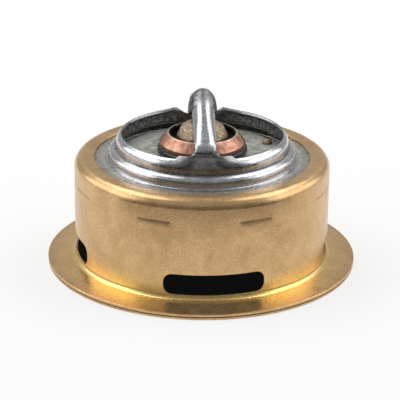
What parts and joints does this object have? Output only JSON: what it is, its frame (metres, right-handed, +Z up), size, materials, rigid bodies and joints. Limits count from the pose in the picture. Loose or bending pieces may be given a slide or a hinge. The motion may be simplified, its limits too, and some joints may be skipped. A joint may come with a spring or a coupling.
{
  "type": "engine thermostat",
  "caption": "Engine coolant valve with a flanged brass can, bypass windows, an arched bridge frame, a disc valve and a wax element on a coil spring.",
  "frame": {"origin": "centre of the flange's underside", "axes": "+Z up along the piston, from the flange to the arch; -Y to the front; the arch lies in the YZ plane"},
  "size_m": [0.073, 0.073, 0.042],
  "materials": {
    "zinc_brass": "satin, lightly tarnished",
    "zinc_steel": "satin zinc plated",
    "frame_steel": "bright zinc plated",
    "disc_steel": "mottled passivated",
    "copper": "satin, scratched",
    "guide_brass": "matte",
    "spring_steel": "drawn wire",
    "polished_steel": "ground",
    "rubber": "moulded",
    "ptfe": "smooth",
    "wax": "dull"
  },
  "bodies": {
    "housing": {"housing_can": "zinc_brass", "base_ring": "zinc_brass", "seat_plate": "zinc_steel", "bridge_frame": "frame_steel", "spring_bracket": "zinc_steel", "piston": "polished_steel", "main_spring": "spring_steel"},
    "valve": {"valve_disc": "disc_steel", "element_seal": "rubber", "wax_can": "copper", "element_guide": "guide_brass", "boot_spacer": "ptfe", "piston_boot": "rubber", "wax_charge": "wax", "spring_cup": "zinc_steel", "bypass_sleeve": "zinc_brass", "stem_washer": "zinc_steel", "retaining_ring": "spring_steel"},
    "jiggle": {"jiggle_pin": "guide_brass", "jiggle_weight": "guide_brass"}
  },
  "joints": [
    {"name": "valve_slide", "type": "slide", "parent": "housing", "child": "valve", "axis": [0, 0, -1], "range_m": [0, 0.0075], "stiffness_N_per_m": 8000, "springref_m": -0.006, "deforming": ["main_spring"]},
    {"name": "jiggle_slide", "type": "slide", "parent": "valve", "child": "jiggle", "axis": [0, 0, 1], "range_m": [0, 0.0012]}
  ]
}
